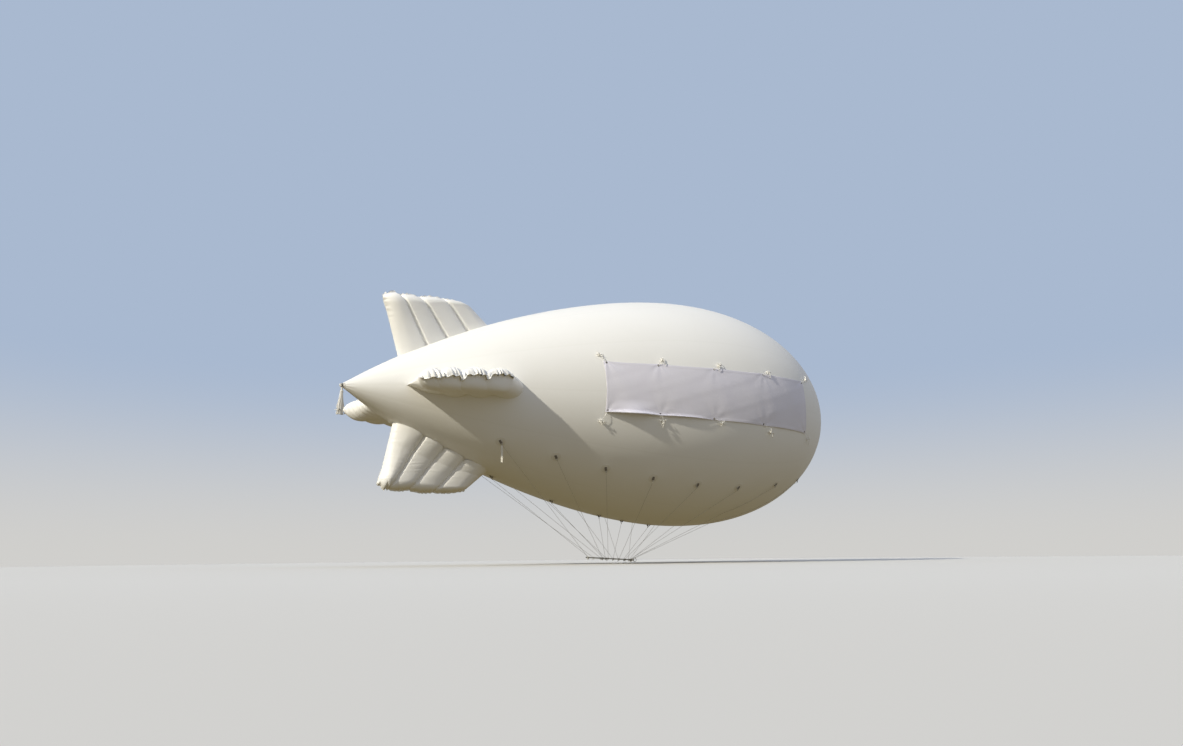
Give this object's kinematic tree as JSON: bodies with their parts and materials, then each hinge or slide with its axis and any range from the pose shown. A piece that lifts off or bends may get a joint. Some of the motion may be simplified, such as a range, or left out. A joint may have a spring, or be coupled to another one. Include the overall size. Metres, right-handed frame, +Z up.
{
  "type": "helium balloon",
  "caption": "Tethered helium balloon: streamlined white envelope, inflated tail fins, blank side banners, and bridle lines gathered on one bar.",
  "frame": {"origin": "centre of lift, on the envelope's axis, at 59 percent of its length from the tail", "axes": "+X towards the nose, +Y to port, +Z up, as it floats"},
  "size_m": [9.0467, 3.8002, 4.369],
  "materials": {
    "envelope_film": "white coated film, smooth, softly glossy",
    "fin_film": "white coated film, gathered at the tips",
    "banner_vinyl": "matt white vinyl banner cloth, blank",
    "load_patch": "welded white film patch with a grey webbing lug",
    "bridle_line": "thin braided white cord",
    "loose_strap": "off-white cord, loose end",
    "bar_metal": "plain drawn tube",
    "ring_metal": "dull steel ring",
    "sleeve_film": "thin white film sleeve, crumpled",
    "tail_fitting": "gathered film over a plug"
  },
  "bodies": {
    "root": {"banner_port": "banner_vinyl", "banner_starboard": "banner_vinyl", "bridle_bar": "bar_metal", "envelope": "envelope_film", "fill_sleeve": "sleeve_film", "fin_bottom": "fin_film", "fin_port": "fin_film", "fin_starboard": "fin_film", "fin_top": "fin_film", "line_keel_1": "bridle_line", "line_keel_2": "bridle_line", "line_keel_3": "bridle_line", "line_keel_4": "bridle_line", "line_keel_5": "bridle_line", "line_port_1": "bridle_line", "line_port_2": "bridle_line", "line_port_3": "bridle_line", "line_port_4": "bridle_line", "line_port_5": "bridle_line", "line_port_6": "bridle_line", "line_port_7": "bridle_line", "line_port_8": "bridle_line", "line_starboard_1": "bridle_line", "line_starboard_2": "bridle_line", "line_starboard_3": "bridle_line", "line_starboard_4": "bridle_line", "line_starboard_5": "bridle_line", "line_starboard_6": "bridle_line", "line_starboard_7": "bridle_line", "line_starboard_8": "bridle_line", "loose_strap": "loose_strap", "nose_patch": "envelope_film", "patch_keel_1": "load_patch", "patch_keel_2": "load_patch", "patch_keel_3": "load_patch", "patch_keel_4": "load_patch", "patch_keel_5": "load_patch", "patch_port_1": "load_patch", "patch_port_2": "load_patch", "patch_port_3": "load_patch", "patch_port_4": "load_patch", "patch_port_5": "load_patch", "patch_port_6": "load_patch", "patch_port_7": "load_patch", "patch_port_8": "load_patch", "patch_starboard_1": "load_patch", "patch_starboard_2": "load_patch", "patch_starboard_3": "load_patch", "patch_starboard_4": "load_patch", "patch_starboard_5": "load_patch", "patch_starboard_6": "load_patch", "patch_starboard_7": "load_patch", "patch_starboard_8": "load_patch", "tail_fitting": "tail_fitting", "tether_ring": "ring_metal"}
  },
  "joints": []
}
